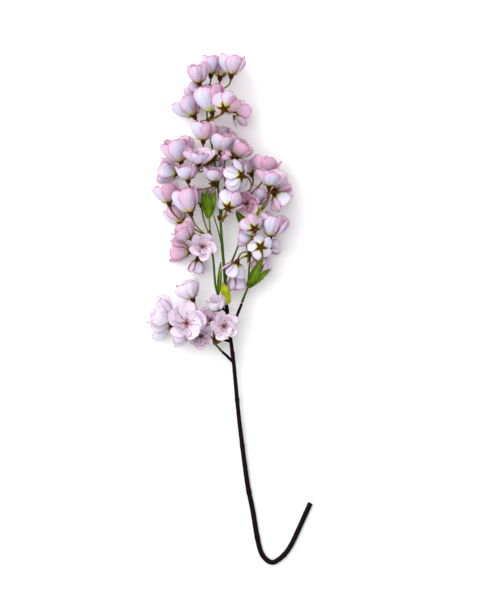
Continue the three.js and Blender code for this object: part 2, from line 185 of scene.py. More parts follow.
def petalFinish(name, inner):
    look = petalLook
    finish = Finish(
        name,
        Roughness=look["roughness"],
        Subsurface_Weight=look["glow"],
        Subsurface_Radius=look["glowRadius"],
        Subsurface_Scale=look["glowDepth"],
    )
    along = finish.attribute("along")
    side = finish.attribute("side")
    tone = finish.attribute("tone")
    # both faces darken towards the root: partly the petal's own olive base and deeper pink, partly
    # painted shade in the bloom's cup and beside the calyx
    if inner:
        stops = (
            (0.0, look["insideRoot"]),
            (0.05, look["insideDeep"]),
            (0.2, look["inside"]),
            (1.0, look["insideTip"]),
        )
    else:
        stops = (
            (0.0, look["root"]),
            (0.1, look["base"]),
            (0.22, look["baseFar"]),
            (0.36, look["pale"]),
            (0.8, look["pale"]),
            (1.0, look["rim"]),
        )
    colour = along.ramp(*stops)
    edge = (side * side * (0.4 + along * 0.8) + along * along * 0.3 + tone * 0.6 - 0.5).clipped()
    colour = finish.mix(edge, colour, look["rim"])
    # about a third of the petals are pink all over, in soft patches
    patch = finish.cloud(finish.place(), scale=60.0)
    flush = ((tone - look["pinkFrom"]) * 6.0 + patch * 0.8 - 0.2).clipped()
    reach = ((along - 0.12) * 5.0).clipped()
    colour = finish.mix(flush * reach * look["pinkStrength"], colour, look["warm"])
    milk = finish.attribute("milk")
    colour = finish.mix(milk * reach, colour, look["milk"])
    # painted shade darkens some clusters' petals, the most towards the root
    shade = finish.attribute("dusk") * (0.45 + (1.0 - along) * 0.55)
    colour = finish.mix(shade, colour, look["dusk"], "MULTIPLY")
    # a thin line of painted shade runs round the rim, where petals shade each other
    line = ((side * side - look["lineSide"]) * 4.2).clipped()
    line += ((along - look["lineTip"]) * 15.0).clipped()
    colour = finish.mix(line.clipped() * look["lineStrength"], colour, look["outline"])
    # veins fan out from the petal's root
    fan = finish.vector(side * 9.0, along * 0.9, tone * 40.0)
    streak = finish.cloud(fan, scale=1.0, detail=3.0)
    vein = ((streak - 0.5) * 3.2 + 0.5).clipped()
    colour = finish.mix(
        vein * (look["veinStrength"] - milk * look["veinMilk"]), colour, look["vein"]
    )
    bumpy = finish.bump(streak, strength=0.35, distance=0.0012)
    return finish.feed(Base_Color=colour, Normal=bumpy)


# how far a cluster's petals have bleached to a milky white, and how much painted shade darkens them
clusterTints = {
    "crest": (0.05, 0.5),
    "upper": (0.0, 0.75),
    "middle": (0.15, 0.35),
    "inner": (0.1, 0.35),
    "right": (0.0, 0.6),
    "heart": (0.2, 0.1),
    "outer": (0.05, 0.55),
    "left": (0.0, 0.65),
    "low_right": (0.15, 0.35),
    "low_near": (0.75, 0.1),
    "low_left": (0.75, 0.0),
}
# and single blooms that differ from their cluster
bloomTints = {
    "left_bloom_5": (0.7, 0.0),
    "right_bloom_4": (0.4, 0.0),
    "low_right_bloom_3": (0.4, 0.0),
}

petalOutside = petalFinish("petal outside", False)
petalInside = petalFinish("petal inside", True)


def stalkFinish():
    finish = Finish("flower stalk", Roughness=0.5, Specular_IOR_Level=0.08)
    along = finish.attribute("along")
    colour = along.ramp(
        (0.0, paint(72, 78, 0)),
        (0.5, paint(134, 120, 0)),
        (0.86, paint(118, 78, 0)),
        (1.0, paint(64, 26, 0)),
    )
    blotch = finish.cloud(finish.place(), scale=260.0)
    colour = finish.mix((blotch * 1.6 - 0.8).clipped() * 0.7, colour, paint(84, 56, 8))
    bumpy = finish.bump(blotch, strength=0.3, distance=0.0004)
    return finish.feed(Base_Color=colour, Normal=bumpy)


def calyxFinish():
    finish = Finish("calyx", Roughness=0.5, Specular_IOR_Level=0.08)
    along = finish.attribute("along")
    colour = along.ramp(
        (0.0, paint(84, 46, 6)),
        (0.25, paint(72, 28, 4)),
        (0.62, paint(56, 20, 4)),
        (0.76, paint(84, 56, 0)),
        (1.0, paint(120, 108, 0)),
    )
    speck = finish.cloud(finish.place(), scale=700.0)
    colour = finish.mix((speck * 2 - 1.1).clipped() * 0.5, colour, paint(124, 66, 14))
    bumpy = finish.bump(speck, strength=0.25, distance=0.0003)
    return finish.feed(Base_Color=colour, Normal=bumpy)


def shootFinish():
    finish = Finish("green shoot", Roughness=0.5, Specular_IOR_Level=0.08)
    along = finish.attribute("along")
    colour = along.ramp(
        (0.0, paint(46, 38, 10)),
        (0.06, paint(40, 78, 4)),
        (0.55, paint(62, 96, 4)),
        (1.0, paint(104, 112, 4)),
    )
    place = finish.place()
    patch = finish.cloud(place, scale=70.0, detail=3.0)
    colour = finish.mix((patch * 2.2 - 0.9).clipped() * 0.6, colour, paint(18, 50, 14))
    grain = finish.cloud(place, scale=900.0)
    colour = finish.mix((grain * 1.4 - 0.6).clipped() * 0.3, colour, paint(150, 160, 70))
    bumpy = finish.bump(grain, strength=0.25, distance=0.0003)
    return finish.feed(Base_Color=colour, Normal=bumpy)


def leafFinish(name, blade, bladeDark, rib, tip):
    finish = Finish(name, Roughness=0.42, Specular_IOR_Level=0.16)
    along = finish.attribute("along")
    side = finish.attribute("side")
    place = finish.place()
    across = side.maths("ABSOLUTE", side)
    patch = finish.cloud(place, scale=120.0, detail=3.0)
    colour = finish.mix(((patch - 0.5) * 2.4 + 0.5).clipped(), bladeDark, blade)
    # side veins leave the rib at a slant, and the blade domes between them
    slant = along * 11.0 - across * 2.6
    wave = slant.maths("FRACT", slant)
    ridge = wave.maths("ABSOLUTE", wave - 0.5)
    veins = ((ridge - 0.4) * 9.0).clipped() * (1.0 - across)
    middle = (1.0 - across * 9.0).clipped()
    colour = finish.mix(veins * 0.55, colour, rib)
    colour = finish.mix(middle * 0.9, colour, rib)
    colour = finish.mix(((along - 0.7) * 2.6).clipped() * 0.6, colour, tip)
    bumpy = finish.bump(patch * 0.3 - veins * 0.6 - middle, strength=0.5, distance=0.0006)
    return finish.feed(Base_Color=colour, Normal=bumpy)


def barkFinish():
    finish = Finish("bark", Specular_IOR_Level=0.05)
    place = finish.place()
    along = finish.attribute("along")
    stretched = finish.node("ShaderNodeMapping", {}, {"Vector": place, "Scale": (1.0, 0.16, 1.0)})
    grain = finish.cloud(stretched, scale=900.0, detail=5.0, roughness=0.6)
    patch = finish.cloud(place, scale=55.0, detail=4.0)
    rings = finish.cloud(finish.vector(along * 260.0, 0.0, 0.0), scale=1.0)
    colour = finish.mix(grain, paint(4, 0, 5), paint(30, 14, 28))
    colour = finish.mix((patch * 2.0 - 0.8).clipped() * 0.6, colour, paint(18, 8, 10))
    # short pale pores lie across the bark
    widened = finish.node("ShaderNodeMapping", {}, {"Vector": place, "Scale": (0.5, 2.2, 1.0)})
    pore = ((finish.cloud(widened, scale=420.0, detail=1.0) - 0.66) * 14.0).clipped()
    colour = finish.mix(pore * 0.4, colour, paint(66, 46, 52))
    height = grain * 0.6 + pore * 0.5 + rings * 0.4
    bumpy = finish.bump(height, strength=0.55, distance=0.0007)
    return finish.feed(Base_Color=colour, Roughness=0.38 + patch * 0.3, Normal=bumpy)


def stamenFinish():
    finish = Finish("stamen", Roughness=0.5)
    along = finish.attribute("along")
    colour = along.ramp(
        (0.0, paint(212, 150, 140)),
        (0.35, paint(146, 56, 52)),
        (0.9, paint(84, 20, 16)),
        (1.0, paint(56, 14, 10)),
    )
    return finish.feed(Base_Color=colour)


stalkMaterial = stalkFinish()
calyxMaterial = calyxFinish()
shootMaterial = shootFinish()
leafMaterial = leafFinish(
    "leaf", paint(98, 130, 0), paint(40, 72, 4), paint(160, 176, 10), paint(76, 64, 0)
)
bractMaterial = leafFinish(
    "bract", paint(180, 196, 0), paint(124, 146, 0), paint(204, 214, 30), paint(140, 100, 0)
)
# the bud scales' dark browns are partly their own colour and partly painted shade between the
# blooms
scaleAndShadeMaterial = leafFinish(
    "bud scale", paint(108, 88, 0), paint(62, 38, 0), paint(92, 66, 0), paint(54, 28, 0)
)
barkMaterial = barkFinish()
stamenMaterial = stamenFinish()
print("finishes ready")


def newShape():
    bm = bmesh.new()
    for name in ("along", "side", "tone", "milk", "dusk"):
        bm.verts.layers.float.new(name)
    return bm


def setLayer(bm, verts, name, value):
    layer = bm.verts.layers.float[name]
    for vert in verts:
        vert[layer] = value


def join(target, source, material=0):
    # adds one shape to another and frees it
    for face in source.faces:
        face.material_index = material
    scratch = bpy.data.meshes.new("scratch")
    source.to_mesh(scratch)
    source.free()
    target.from_mesh(scratch)
    bpy.data.meshes.remove(scratch)


def joinTurned(target, source, place, roll=0.0):
    # adds a shape that was made about +Z, rolled about that axis and moved to its place
    turn = Matrix.Rotation(roll, 4, "Z")
    bmesh.ops.transform(source, matrix=place @ turn, verts=source.verts)
    join(target, source)


tableGap = {"least": 0.2, "most": 1.0}


def liftOff(bm):
    # what would dip into the table is bent up, the lowest of it the most
    least, most = tableGap["least"], tableGap["most"]
    for vert in bm.verts:
        if vert.co.z < most:
            vert.co.z = least + (most - least) * math.exp((vert.co.z - most) / (most - least))


def makePiece(bm, name, materials, replaced=()):
    bmesh.ops.scale(bm, vec=(0.001, 0.001, 0.001), verts=bm.verts)
    for face in bm.faces:
        face.smooth = True
    mesh = bpy.data.meshes.new(name)
    bm.to_mesh(mesh)
    bm.free()
    for material in materials:
        mesh.materials.append(material)
    piece = bpy.data.objects.new(name, mesh)
    bpy.context.scene.collection.objects.link(piece)
    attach(piece, "root")
    if replaced:
        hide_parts(*replaced)
    return piece


def sweep(places, sides, along=(0.0, 1.0)):
    # a round bar: each place carries a ring of radius 1, extruded from place to place
    bm = newShape()
    ring = bmesh.ops.create_circle(bm, cap_ends=True, segments=sides, radius=1.0, matrix=places[0])
    verts = ring["verts"]
    edges = list(bm.edges)
    setLayer(bm, verts, "along", along[0])
    for i in range(1, len(places)):
        grown = bmesh.ops.extrude_edge_only(bm, edges=edges)["geom"]
        verts = [g for g in grown if isinstance(g, bmesh.types.BMVert)]
        fresh = set(verts)
        edges = [
            g for g in grown
            if isinstance(g, bmesh.types.BMEdge) and g.verts[0] in fresh and g.verts[1] in fresh
        ]
        move = places[i] @ places[i - 1].inverted()
        bmesh.ops.transform(bm, matrix=move, verts=verts)
        setLayer(bm, verts, "along", lerp(*along, i / (len(places) - 1)))
    bmesh.ops.edgeloop_fill(bm, edges=edges)
    bmesh.ops.recalc_face_normals(bm, faces=bm.faces)
    return bm


def places(points, radii):
    # one place for each point of a curve, whose own Z runs along it, turned as little as may be
    made = []
    aside = None
    for i, point in enumerate(points):
        before = points[max(i - 1, 0)]
        after = points[min(i + 1, len(points) - 1)]
        heading = (after - before).normalized()
        if aside is None:
            aside = heading.orthogonal()
        aside = (aside - heading * aside.dot(heading)).normalized()
        beside = heading.cross(aside)
        radius = radii[i]
        columns = (aside * radius, beside * radius, heading * radius)
        turn = Matrix(columns).transposed().to_4x4()
        made.append(Matrix.Translation(point) @ turn)
    return made


curveSteps = 16  # between two corners of a route


def smoothLine(corners, count):
    # a smooth curve through the corners, in steps of equal length
    knots = [Vector(c) for c in corners]
    knots = [knots[0] * 2 - knots[1], *knots, knots[-1] * 2 - knots[-2]]
    dense = []
    for a, b, c, d in zip(knots, knots[1:], knots[2:], knots[3:]):
        for step in range(curveSteps):
            t = step / curveSteps
            dense.append(
                0.5 * (2 * b + (c - a) * t + (2 * a - 5 * b + 4 * c - d) * t**2
                       + (3 * b - a - 3 * c + d) * t**3)
            )
    dense.append(knots[-2])
    return evenly(dense, count)


def evenly(dense, count):
    # points at equal steps along a line of close points
    lengths = [0.0]
    for a, b in zip(dense, dense[1:]):
        lengths.append(lengths[-1] + (b - a).length)
    made = []
    at = 0
    for i in range(count + 1):
        want = lengths[-1] * i / count
        while at < len(dense) - 2 and lengths[at + 1] < want:
            at += 1
        share = (want - lengths[at]) / max(lengths[at + 1] - lengths[at], 1e-9)
        made.append(dense[at].lerp(dense[at + 1], clamp(share)))
    return made


# at is where a bloom's stalk ends, faces the way the bloom looks, petal the petals' length and
# open how far it has opened. past is a point that pulls its stalk aside.
def bloom(at, faces, petal, opened, past=None):
    return {"at": at, "faces": faces, "petal": petal, "open": opened, "past": past}


def leaf(root, tip, width, kind="leaf"):
    return {"root": root, "tip": tip, "width": width, "kind": kind}


def stem(radii, *points):
    return {"radii": radii, "points": points}


shoots = {
    "leading_shoot": {
        "stems": [
            stem((1.8, 0.9), (-4.1, 7.6, 20.6), (-5, 27, 22), (-7, 53, 24), (-9, 78, 25),
                 (-10.6, 103, 25.5), (-12, 125, 26), (-15.6, 153, 26.5), (-18, 171, 27),
                 (-21.5, 190, 27), (-25, 212, 27), (-26, 243, 28)),
            stem((1.3, 0.9), (-4.5, 16, 21), (-4, 38, 19), (6, 64, 18), (17, 92, 18),
                 (24, 108, 19)),
            stem((1, 0.8), (-10.4, 100, 25), (-8, 115, 23), (-3, 132, 22)),
            stem((0.9, 0.7), (-8.6, 70, 24.5), (-12, 85, 26), (-18, 105, 27)),
        ],
        "leaves": [
            leaf((-2, 8, 22), (-8, 32, 27), 10, "bract"),
            leaf((18, 93, 19), (6, 110, 32), 9),
            leaf((18, 93, 19), (35, 114, 36), 8, "bract"),
            leaf((18, 93, 19), (33, 103, 20), 6),
        ],
        "clusters": {
            "crest": ((-26, 242, 28), [
                bloom((-21, 254.5, 26.5), (0, 1, 0.1), 24.5, 0.3),
                bloom((-11.5, 253.5, 9.5), (0.1, 1, 0), 22.5, 0.3),
                bloom((1, 252.5, 38), (0.1, 1, 0.05), 26.5, 0.45),
                bloom((-32.5, 243.5, 40), (-0.15, 0.97, 0.2), 25, 0.32),
                bloom((-29.5, 237, 15), (-0.8, 0.6, 0), 18.5, 0.4),
            ]),
            "upper": ((-24.5, 208, 27), [
                bloom((-18.5, 211.5, 44.5), (-0.15, 0.95, 0.15), 35, 0.36),
                bloom((-7.5, 214, 78), (0.25, 0.6, -0.75), 21.5, 0.7),
                bloom((1, 217, 32), (0.75, 0, -0.66), 18.5, 0.75),
                bloom((-37, 210, 24), (-0.5, 0.85, -0.1), 27.5, 0.5),
            ]),
            "middle": ((-17.5, 166, 27), [
                bloom((-29, 181, 42), (0, 0.95, 0.2), 25, 0.36),
                bloom((-10, 169, 36), (0.15, 1, 0.2), 24.5, 0.4),
                bloom((-52.5, 159, 26), (-0.25, 0.95, 0.15), 32, 0.45),
                bloom((-34, 155.5, 51), (0.05, 0.95, 0.3), 23, 0.7),
                bloom((-54, 151, 12), (-0.95, 0.2, 0), 25.5, 0.45),
                bloom((-11, 183, 11), (0.15, 1, 0), 19, 0.35),
            ]),
            "inner": ((-13.5, 138, 26), [
                bloom((-45, 138.5, 40), (-0.1, 0.95, 0.25), 21, 0.5),
                bloom((-19, 136.5, 42), (0.15, 0.95, 0.3), 20, 0.5),
                bloom((-21, 147, 13), (0.05, 1, 0), 21, 0.4),
            ]),
            "right": ((-3, 131, 22), [
                bloom((-3, 170, 16), (0.6, 0.8, 0.1), 24.5, 0.4),
                bloom((5, 164, 38), (0.55, 0.8, 0.1), 21, 0.45),
                bloom((5.5, 165.5, 53.5), (-0.8, 0.3, 0.5), 13, 0.15, (12, 150, 18)),
                bloom((16, 146, 65), (-0.65, 0.05, -0.75), 21, 0.8, (34, 122, 28)),
            ]),
            "heart": ((-10.5, 100, 25), [
                bloom((-3, 109, 60), (0.2, 0.6, -0.75), 21, 0.6, (-13, 92, 54)),
            ]),
            "outer": ((23.5, 107, 19), [
                bloom((25, 147, 14), (-0.35, 0.95, 0), 18, 0.3, (12, 125, 16)),
                bloom((37, 145, 31), (0.2, 0.95, -0.1), 23.5, 0.55, (12, 130, 24)),
                bloom((42, 131, 50), (0.15, 0.95, 0.2), 23.5, 0.6, (44, 112, 20)),
                bloom((46, 131, 12), (0.8, 0.6, -0.1), 20, 0.4, (38, 108, 18)),
                bloom((46, 131, 34), (0.65, -0.7, -0.2), 20, 0.55, (50, 110, 24)),
                bloom((26, 114, 22), (0.45, 0.85, 0), 21, 0.35),
                bloom((17, 117.5, 25.5), (0.15, 0, 0.98), 17, 0.7),
            ]),
        },
    },
    "left_shoot": {
        "stems": [
            stem((1.4, 0.9), (-11.7, 13.6, 22.6), (-16, 29, 23), (-18, 53, 24), (-21, 78, 25),
                 (-23, 105, 26)),
        ],
        "leaves": [
            leaf((-12.5, 19, 23), (-10, 54, 28), 5),
            leaf((-23, 102, 26), (-31, 131, 27), 9),
            leaf((-23, 102, 26), (-25, 134, 34), 8),
            leaf((-23, 103, 26), (-16, 132, 32), 8),
        ],
        "clusters": {
            "left": ((-21, 80, 25), [
                bloom((-50, 93.5, 11.5), (-0.6, 0.8, -0.1), 25.5, 0.3),
                bloom((-66, 114, 22), (-0.2, 0.95, 0.05), 25.5, 0.45),
                bloom((-41.5, 102.5, 38), (-0.25, 0.95, 0.1), 33, 0.3),
                bloom((-40, 77, 30), (-0.65, 0.7, 0.3), 22.5, 0.5),
                bloom((-31, 70, 29), (0.15, 0.05, 1), 17, 0.85),
                bloom((-35, 61, 14), (-0.15, -0.95, -0.1), 17, 0.4),
                bloom((-40, 65, 14), (-0.95, 0.1, 0), 25.5, 0.4),
                bloom((-31, 113, 12), (-0.05, 1, 0), 21, 0.4),
            ]),
        },
    },
    "right_shoot": {
        "stems": [
            stem((1.4, 0.9), (13.1, 9.2, 22.6), (16, 17, 23), (20, 28, 24), (21, 46, 24),
                 (23, 64, 24)),
        ],
        "leaves": [
            leaf((20, 27, 24), (36, 58, 34), 10),
            leaf((20, 26, 24), (45, 47, 29), 7),
            leaf((21, 28, 24), (38, 52, 31), 5),
        ],
        "clusters": {
            "low_right": ((23, 63, 24), [
                bloom((42.5, 77, 32), (0.25, 0.95, 0.15), 30.5, 0.45),
                bloom((28, 86, 58), (-0.3, 0.6, -0.75), 18, 0.65, (8, 75, 48)),
                bloom((34, 69, 60), (-0.1, 0.05, -1), 16, 0.8, (40, 33, 48)),
                bloom((36, 69, 18), (0.95, 0.15, -0.1), 16, 0.42),
                bloom((34, 66, 12), (0, -0.95, -0.1), 20, 0.45),
                bloom((9, 57, 42), (-0.3, -0.85, -0.3), 19, 0.6),
                bloom((6, 45, 16), (0.1, -0.95, 0), 21, 0.4),
                bloom((29, 79, 31), (-0.85, 0.1, 0), 19, 0.45),
            ]),
        },
    },
    "low_shoot": {
        "stems": [
            stem((1.3, 0.9), (-8.9, -44.6, 16.7), (-18, -35.4, 18), (-28, -33, 19), (-36, -33, 20)),
        ],
        "leaves": [],
        "clusters": {
            "low_near": ((-18, -35.4, 18), [
                bloom((-31.5, -25.5, 17), (0, -0.3, 0.95), 18, 0.62),
                bloom((-20, -13, 24), (-0.2, 0.35, 0.9), 18, 0.65),
                bloom((-10, -2, 42), (-0.3, 0.75, 0.5), 18, 0.45),
                bloom((-7, -17, 39), (0.1, 0.1, 0.98), 18, 0.85),
            ]),
            "low_left": ((-36, -33, 20), [
                bloom((-39, 9, 28), (-0.4, 0.9, 0.1), 24.5, 0.45),
                bloom((-60, -10, 32), (-0.85, 0.45, 0.2), 28.5, 0.55),
                bloom((-61, -15, 13), (-0.98, -0.15, 0), 25.5, 0.42),
                bloom((-47, -15, 37), (0, 0.25, 0.95), 24.5, 0.85),
                bloom((-42, -26, 14), (-0.97, -0.15, 0.05), 20, 0.42),
            ]),
        },
    },
}


goldenTurn = 2.39996


def placeOf(flower, roll):
    # turns +Z to the way the bloom faces, after a roll about its own axis
    turn = up.rotation_difference(Vector(flower["faces"]).normalized()) @ Quaternion(up, roll)
    return Matrix.Translation(flower["at"]) @ turn.to_matrix().to_4x4()


allBlooms = [
    flower
    for plan in shoots.values()
    for _, members in plan["clusters"].values()
    for flower in members
]
# each bloom is rolled by the golden angle and takes its own share of its cluster's painted shade
for number, flower in enumerate(allBlooms):
    flower["place"] = placeOf(flower, number * goldenTurn)
    flower["dulling"] = (number + 1) * goldenTurn % 1

petals = {
    "count": 5,
    "root": 1.5,  # from the bloom's axis to the petals' roots
    "rootHeight": 5.35,
    "rootAngle": (48, 90),  # degrees from the bloom's axis to the rib, when closed and when flat
    "tipAngle": (-40, 40, 55),  # when closed, and what opening adds evenly and then faster
    "spread": 1.12,
    "halfWidth": 0.45,
    "twist": 17,  # degrees
    "curl": 0.9,  # its radius across when closed, as a share of its distance from the axis,
    "leastCurl": 0.3,  # which counts as at least this share of its length
    "grid": (8, 11),  # squares across and along
    "thickness": 0.32,
    "notch": 0.03,
    "round": 0.05,  # how far the tip's corners lie back, as a share of the length
    "blunt": 0.88,  # the share of its squared width that the blade loses at the tip
    "ripple": 0.013,
    "crease": 0.02,
    "lengths": (0.95, 1.03),
    "openings": (-0.04, 0.05),
}
petalTurn = 2 * math.pi / petals["count"]
# between these limits each petal differs from the next
petalLimits = {
    "curl": (0.9, 1.12),
    "twist": (-5, 7),
    "phase": (0, 6.28),
    "notch": (0.4, 1.6),
    "ripple": (0.5, 1.3),
    "tone": (0, 1),
}
# the inner petals are smaller, less open and more crumpled
innerPetals = {
    "root": 0.93,
    "grid": (6, 8),
    "length": 0.92,
    "lengths": (0.85, 1.02),
    "closer": 0.03,
    "closerMore": (0.1, 0.25),  # at most this much more when closed, and what opening adds to it
    "leastOpen": 0.05,
    "rolls": (-0.3, 0.3),
}
innerLimits = {**petalLimits, "twist": (-30, 30), "ripple": (0.75, 1.95)}


def ribAt(share, root, length, opened):
    # a petal's rib is an arc: the angle, the distance from the bloom's axis and the height
    # that it has reached at a share of its length
    start = math.radians(lerp(*petals["rootAngle"], opened))
    closed, even, faster = petals["tipAngle"]
    end = math.radians(closed + even * opened + faster * opened**2)
    angle = lerp(start, end, share)
    arc = length / (end - start)
    radius = root + arc * (math.cos(start) - math.cos(angle))
    height = petals["rootHeight"] + arc * (math.sin(angle) - math.sin(start))
    return angle, radius, height


def petalPoint(u, v, root, length, opened, vary):
    if v == 0:
        share = -u * math.pi / petals["count"]
        return Vector((root * math.cos(share), root * math.sin(share), petals["rootHeight"]))
    notch = petals["notch"] * vary["notch"] * math.exp(-((u / 0.2) ** 2)) * v**6
    reach = v * (1 - petals["round"] * (u * v) ** 2 - notch)
    angle, radius, height = ribAt(reach, root, length, opened)
    widest = min(petals["spread"] * (0.55 + 0.5 * v) * radius, petals["halfWidth"] * length)
    halfWidth = widest * math.sqrt(1 - petals["blunt"] * v**6)
    curl = petals["curl"] * (1 + opened) * max(radius, petals["leastCurl"] * length)
    curl *= vary["curl"]
    bend = -u * halfWidth / curl
    across = curl * math.sin(bend)
    twist = math.radians(petals["twist"] + vary["twist"])
    inward = curl * (1 - math.cos(bend)) + across * math.sin(twist)
    # the rim waves a little, and the blade has a shallow crease along its rib
    wave = math.sin(u * 5.2 + vary["phase"]) * v**3
    wave += 0.7 * math.cos(v * 7 + vary["phase"]) * u * v * v
    inward += petals["ripple"] * length * wave * vary["ripple"]
    inward -= petals["crease"] * length * math.exp(-((u / 0.22) ** 2)) * v
    return Vector((
        radius - inward * math.cos(angle),
        across * math.cos(twist),
        height + inward * math.sin(angle),
    ))


def petalSheet(root, length, opened, vary, grid):
    bm = newShape()
    bmesh.ops.create_grid(bm, x_segments=grid[0], y_segments=grid[1], size=1.0)
    alongLayer = bm.verts.layers.float["along"]
    sideLayer = bm.verts.layers.float["side"]
    toneLayer = bm.verts.layers.float["tone"]
    for vert in bm.verts:
        u, v = vert.co.x, (vert.co.y + 1) / 2
        v = 0 if v < 1e-6 else v
        vert[alongLayer] = v
        vert[sideLayer] = u
        vert[toneLayer] = vary["tone"]
        vert.co = petalPoint(u, v, root, length, opened, vary)
    return bm


def drawn(limits):
    return {key: chance.uniform(*span) for key, span in limits.items()}


def corolla(flower, name, milk, dusk):
    bm = newShape()
    length, opened = flower["petal"], flower["open"]
    for i in range(petals["count"]):
        vary = drawn(petalLimits)
        grown = length * chance.uniform(*petals["lengths"])
        spread = opened + chance.uniform(*petals["openings"])
        sheet = petalSheet(petals["root"], grown, spread, vary, petals["grid"])
        joinTurned(bm, sheet, flower["place"], i * petalTurn)
    shut, faster = innerPetals["closerMore"]
    for i in range(petals["count"]):
        vary = drawn(innerLimits)
        grown = length * innerPetals["length"] * chance.uniform(*innerPetals["lengths"])
        closer = innerPetals["closer"] + chance.uniform(0, shut + faster * opened**2)
        spread = max(opened - closer, innerPetals["leastOpen"])
        sheet = petalSheet(innerPetals["root"], grown, spread, vary, innerPetals["grid"])
        roll = (i + 0.5) * petalTurn + chance.uniform(*innerPetals["rolls"])
        joinTurned(bm, sheet, flower["place"], roll)
    liftOff(bm)
    setLayer(bm, bm.verts, "milk", milk)
    setLayer(bm, bm.verts, "dusk", dusk)
    piece = makePiece(bm, name + "_petals", [petalInside, petalOutside], [name])
    wall = piece.modifiers.new("thickness", "SOLIDIFY")
    wall.thickness = petals["thickness"] / 1000
    wall.offset = 0
    wall.material_offset = 1
    wall.material_offset_rim = 1


stamens = {
    "openFrom": 0.55,
    "openCount": 10,
    "closedCount": 7,
    "length": 0.58,  # as a share of the petals' length
    "pistil": 1.15,  # as a share of the stamens' length
    "pistilLean": 0.05,
    "reaches": (0.65, 1.05),
    "leans": (0.15, 1.0),
    "foot": 0.4,  # how far from the bloom's axis they start
    "droop": 0.12,
    "thread": 0.2,
    "anther": (1.05, 0.56, 0.56),  # its half sizes
    "sides": 4,
    "steps": 3,
}


def stamenShape(length, lean):
    # a thread that leans out as it rises, with an anther lying across its tip
    points = []
    for step in range(stamens["steps"] + 1):
        t = step / stamens["steps"]
        aside = length * lean * t * t + stamens["foot"]
        points.append(Vector((aside, 0, length * t * (1 - stamens["droop"] * t))))
    rings = places(points, [stamens["thread"]] * len(points))
    bm = sweep(rings, stamens["sides"], (0, 0.85))
    anther = newShape()
    place = Matrix.Translation(points[-1]) @ Matrix.Diagonal((*stamens["anther"], 1))
    bmesh.ops.create_icosphere(anther, subdivisions=1, radius=1.0, matrix=place)
    setLayer(anther, anther.verts, "along", 1.0)
    join(bm, anther)
    return bm


def stamenRing(flower, bm):
    wide = flower["open"] >= stamens["openFrom"]
    count = stamens["openCount"] if wide else stamens["closedCount"]
    length = stamens["length"] * flower["petal"]
    spread = 0.25 + 0.75 * flower["open"]
    base = flower["place"] @ Matrix.Translation((0, 0, petals["rootHeight"] - 0.3))
    for i in range(count):
        reach = length * chance.uniform(*stamens["reaches"])
        lean = spread * chance.uniform(*stamens["leans"])
        joinTurned(bm, stamenShape(reach, lean), base, i * goldenTurn)
    # the pistil stands in their middle
    joinTurned(bm, stamenShape(length * stamens["pistil"], stamens["pistilLean"]), base)


stalks = {
    "lead": 11,  # the stretch that runs in line with the bloom
    "radius": 0.95,
    "waist": 0.12,  # how much thinner the middle is
    "foot": 1.2,  # its radius at the shoot
    "sides": 8,
    "steps": 12,
    "fine": 40,
}


def stalkOf(flower, joint):
    base = Vector(flower["at"])
    facing = Vector(flower["faces"]).normalized()
    start = Vector(joint)
    lead = min(stalks["lead"], 0.5 * (base - start).length)
    before = base - facing * lead
    past = Vector(flower["past"]) if flower["past"] else start.lerp(before, 0.5)
    dense = []
    for step in range(stalks["fine"] + 1):
        t = step / stalks["fine"]
        s = 1 - t
        dense.append(start * s**3 + past * 3 * s * s * t + before * 3 * s * t * t + base * t**3)
    count = stalks["steps"]
    radii = [
        stalks["radius"] - stalks["waist"] * math.sin(math.pi * i / count)
        for i in range(count + 1)
    ]
    radii[0] = stalks["foot"]
    return sweep(places(evenly(dense, count), radii), stalks["sides"])


calyxes = {
    "heights": (0.0, 0.9, 1.9, 2.9, 3.8, 4.5, 5.0),
    "radii": (1.0, 1.8, 2.4, 2.75, 2.9, 2.8, 1.8),
    "sepalReach": 6.4,
    "sepalReaches": (0.92, 1.08),
    "sepalHalf": 1.7,
    "sepalTip": 0.06,
    "sepalGrid": (4, 6),
    "sepalClear": 0.55,  # from a sepal to the petals' ribs
    "dome": 0.3,  # how much further its middle stands off at the root
    "flare": 1.6,  # and how much further its tip does
    "thickness": 0.35,
    "sides": 12,
}


def calyxOf(flower):
    bm = newShape()
    rings = [
        flower["place"] @ Matrix.Translation((0, 0, h)) @ Matrix.Scale(r, 4)
        for h, r in zip(calyxes["heights"], calyxes["radii"])
    ]
    join(bm, sweep(rings, calyxes["sides"], (0.0, 0.66)))
    length, opened = flower["petal"], flower["open"]
    columns, rows = calyxes["sepalGrid"]
    for k in range(petals["count"]):
        sepal = newShape()
        bmesh.ops.create_grid(sepal, x_segments=columns, y_segments=rows, size=1.0)
        alongLayer = sepal.verts.layers.float["along"]
        reach = calyxes["sepalReach"] * chance.uniform(*calyxes["sepalReaches"])
        for vert in sepal.verts:
            u, v = vert.co.x, (vert.co.y + 1) / 2
            half = calyxes["sepalHalf"] * (1 - v) ** 0.75 * (1 + 0.5 * v) + calyxes["sepalTip"]
            angle, radius, height = ribAt(v * reach / length, petals["root"], length, opened)
            clear = calyxes["sepalClear"] + calyxes["dome"] * (1 - abs(u)) * (1 - v)
            clear += calyxes["flare"] * v**2
            vert[alongLayer] = lerp(0.6, 1.0, v)
            vert.co = (
                radius + clear * math.cos(angle),
                -u * half,
                height - clear * math.sin(angle),
            )
        bmesh.ops.recalc_face_normals(sepal, faces=sepal.faces)
        bmesh.ops.solidify(sepal, geom=sepal.faces[:], thickness=calyxes["thickness"])
        joinTurned(bm, sepal, flower["place"], (k + 0.5) * petalTurn)
    return bm


leaves = {
    "across": 8,
    "along": 36,
    "thickness": 0.35,
    "foot": 0.12,  # the share of the outline's curve that is cut off at the root
    "leastHalf": 0.05,
    "fold": 0.35,
    "arch": 0.1,
    "wave": 0.012,
    "tooth": 0.07,
    "toothRows": 3,  # rows of squares to a tooth
}
scales = {
    "count": 9,
    "length": 11.0,
    "lengths": (0.7, 1.2),
    "width": 4.0,
    "widths": (0.8, 1.2),
    "aside": (-0.5, 0.5),
    "coarser": 3,
}


